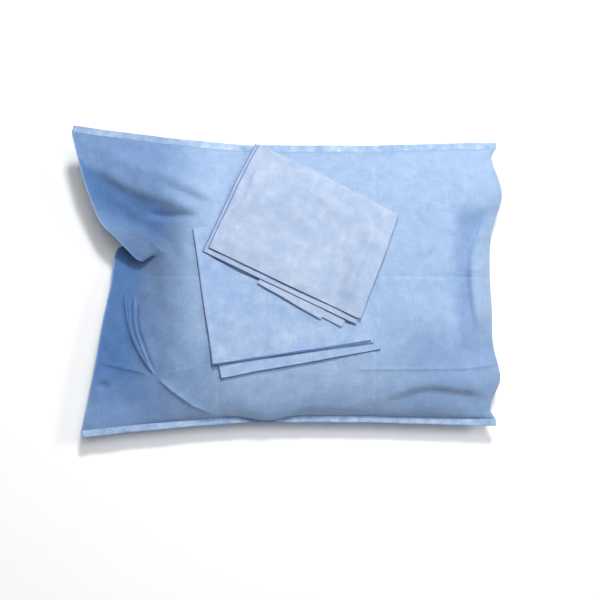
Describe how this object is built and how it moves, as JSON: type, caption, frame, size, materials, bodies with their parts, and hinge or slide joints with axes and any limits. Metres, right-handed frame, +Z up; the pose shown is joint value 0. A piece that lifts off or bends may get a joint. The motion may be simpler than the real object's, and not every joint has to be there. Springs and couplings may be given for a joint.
{
  "type": "patient gown and pillow set",
  "caption": "Folded disposable nonwoven patient gown and drape sheet lying on a bed pillow in an open-ended nonwoven pillowcase with welded side seams.",
  "frame": {"origin": "middle of the underside of the whole set, on the floor plane", "axes": "+X along the pillow towards the case's closed end, +Y towards the back side seam, +Z up"},
  "size_m": [0.7415, 0.5349, 0.1468],
  "materials": {
    "fibre_fill": "matt loose fibre",
    "ticking": "matt woven ticking",
    "case_nonwoven": "matt embossed nonwoven",
    "welded_seam": "satin welded band",
    "sheet_nonwoven": "matt mottled nonwoven",
    "gown_nonwoven": "matt mottled nonwoven"
  },
  "bodies": {
    "pillow": {"pillow_fill": "fibre_fill", "ticking_top": "ticking", "ticking_bottom": "ticking", "ticking_seam": "ticking", "case_top_panel": "case_nonwoven", "case_bottom_panel": "case_nonwoven", "case_end_fold": "case_nonwoven", "case_back_seam": "welded_seam", "case_front_seam": "welded_seam"},
    "mouth": {"mouth_top_flap": "case_nonwoven", "mouth_bottom_flap": "case_nonwoven", "mouth_top_hem": "case_nonwoven", "mouth_bottom_hem": "case_nonwoven", "mouth_back_seam": "welded_seam", "mouth_front_seam": "welded_seam"},
    "sheet": {"sheet_lower_leaf": "sheet_nonwoven", "sheet_middle_leaf": "sheet_nonwoven", "sheet_upper_leaf": "sheet_nonwoven"},
    "gown": {"gown_right_back_panel": "gown_nonwoven", "gown_left_back_panel": "gown_nonwoven", "gown_right_sleeve": "gown_nonwoven", "gown_left_sleeve": "gown_nonwoven", "gown_waist_ties": "gown_nonwoven", "gown_neck_ties": "gown_nonwoven", "gown_front_panel": "gown_nonwoven"},
    "gown_flap": {"gown_flap_lining": "gown_nonwoven", "gown_flap_front": "gown_nonwoven", "gown_neck_binding": "gown_nonwoven"}
  },
  "joints": [
    {"name": "mouth_fold", "type": "hinge", "parent": "pillow", "child": "mouth", "pos_m": [-0.268, 0, 0.096], "axis": [0, 1, 0], "range_deg": [0, 35]},
    {"name": "sheet_lift", "type": "slide", "parent": "pillow", "child": "sheet", "axis": [0, 0, 1], "range_m": [0, 0.15]},
    {"name": "gown_lift", "type": "slide", "parent": "sheet", "child": "gown", "axis": [0, 0, 1], "range_m": [0, 0.15]},
    {"name": "gown_unfold", "type": "hinge", "parent": "gown", "child": "gown_flap", "pos_m": [0.154, 0.0255, 0.14], "axis": [0.3469, 0.9379, 0], "range_deg": [0, 150]}
  ]
}
